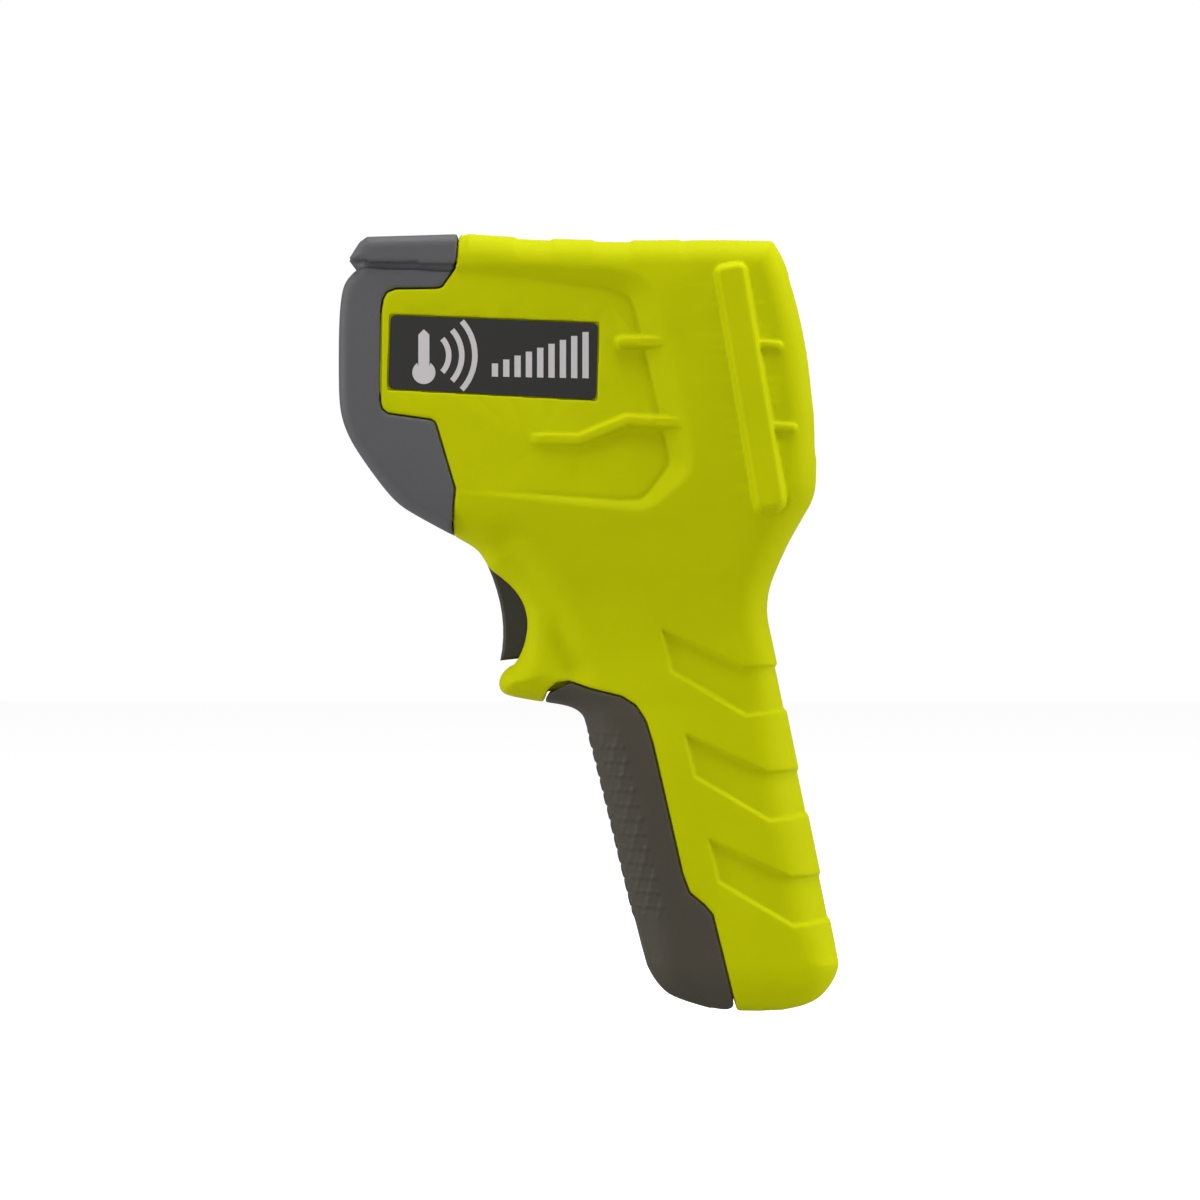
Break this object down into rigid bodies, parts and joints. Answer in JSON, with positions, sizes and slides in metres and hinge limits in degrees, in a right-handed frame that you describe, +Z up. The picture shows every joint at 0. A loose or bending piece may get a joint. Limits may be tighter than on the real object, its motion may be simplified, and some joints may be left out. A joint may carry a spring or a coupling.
{
  "type": "infrared thermometer",
  "caption": "Pistol-grip infrared thermometer with a visored nose, trigger, side badge panels, rear display with keys, and a hinged battery door in the grip.",
  "frame": {"origin": "middle of the bounding box in plan, at the height of the flat under the grip", "axes": "+Z up, -X out of the nose towards the target, +Y towards the half with the screws, the right of someone holding it"},
  "size_m": [0.1003, 0.046, 0.1556],
  "materials": {
    "lime_shell": "fine moulded texture, matt",
    "grey_cover": "fine moulded texture, soft touch",
    "door_grey": "fine moulded texture, matt",
    "trigger_grey": "fine moulded texture, matt",
    "black_plastic": "matt",
    "badge_film": "satin printed label",
    "key_rubber": "matt",
    "lens_glass": "polished, slightly frosted",
    "clear_window": "polished",
    "lcd": "satin",
    "diffuser": "matt",
    "board": "solder mask",
    "steel": "turned and plated",
    "brass": "turned",
    "battery_case": "wrapped can",
    "wire_red": "insulation",
    "wire_black": "insulation"
  },
  "bodies": {
    "instrument": {"housing_left": "lime_shell", "housing_right": "lime_shell", "badge_left": "badge_film", "badge_right": "badge_film", "nose_cover": "grey_cover", "lens_shroud": "black_plastic", "ir_lens": "lens_glass", "sensor_tube": "black_plastic", "thermopile": "steel", "sensor_board": "board", "laser_module": "brass", "laser_window": "clear_window", "optics_bracket": "black_plastic", "rear_bezel": "badge_film", "display_window": "clear_window", "lcd_module": "lcd", "lcd_backlight": "diffuser", "main_board": "board", "keypad_mat": "key_rubber", "trigger_pin": "steel", "trigger_spring": "steel", "trigger_switch": "black_plastic", "switch_board": "board", "door_hinge_pin": "steel", "battery": "battery_case", "battery_snap": "black_plastic", "lead_red": "wire_red", "lead_black": "wire_black", "housing_screw_1": "steel", "housing_screw_2": "steel", "housing_screw_3": "steel", "housing_screw_4": "steel", "housing_screw_5": "steel"},
    "trigger_body": {"trigger": "trigger_grey"},
    "plunger": {"switch_plunger": "wire_red"},
    "door": {"battery_door": "door_grey"},
    "left_key": {"key_left": "key_rubber"},
    "center_key": {"key_center": "key_rubber"},
    "right_key": {"key_right": "key_rubber"}
  },
  "joints": [
    {"name": "trigger_pull", "type": "hinge", "parent": "instrument", "child": "trigger_body", "pos_m": [-0.015, 0, 0.0935], "axis": [0, -1, 0], "range_deg": [0, 8], "stiffness_Nm_per_rad": 0.35, "springref_deg": -8.59, "deforming": ["trigger_spring"]},
    {"name": "switch_press", "type": "slide", "parent": "instrument", "child": "plunger", "axis": [1, 0, 0], "range_m": [0, 0.0025]},
    {"name": "battery_door_open", "type": "hinge", "parent": "instrument", "child": "door", "pos_m": [0.0272, 0, 0.0021], "axis": [0, -1, 0], "range_deg": [0, 55]},
    {"name": "key_left_press", "type": "slide", "parent": "instrument", "child": "left_key", "axis": [-0.9898, 0, -0.1426], "range_m": [0, 0.0007], "stiffness_N_per_m": 700, "springref_m": -0.0004},
    {"name": "key_center_press", "type": "slide", "parent": "instrument", "child": "center_key", "axis": [-0.9898, 0, -0.1426], "range_m": [0, 0.0007], "stiffness_N_per_m": 700, "springref_m": -0.0004},
    {"name": "key_right_press", "type": "slide", "parent": "instrument", "child": "right_key", "axis": [-0.9898, 0, -0.1426], "range_m": [0, 0.0007], "stiffness_N_per_m": 700, "springref_m": -0.0004}
  ],
  "couplings": [
    {"joint": "switch_press", "follows": "trigger_pull", "m_per_rad": 0.017}
  ]
}
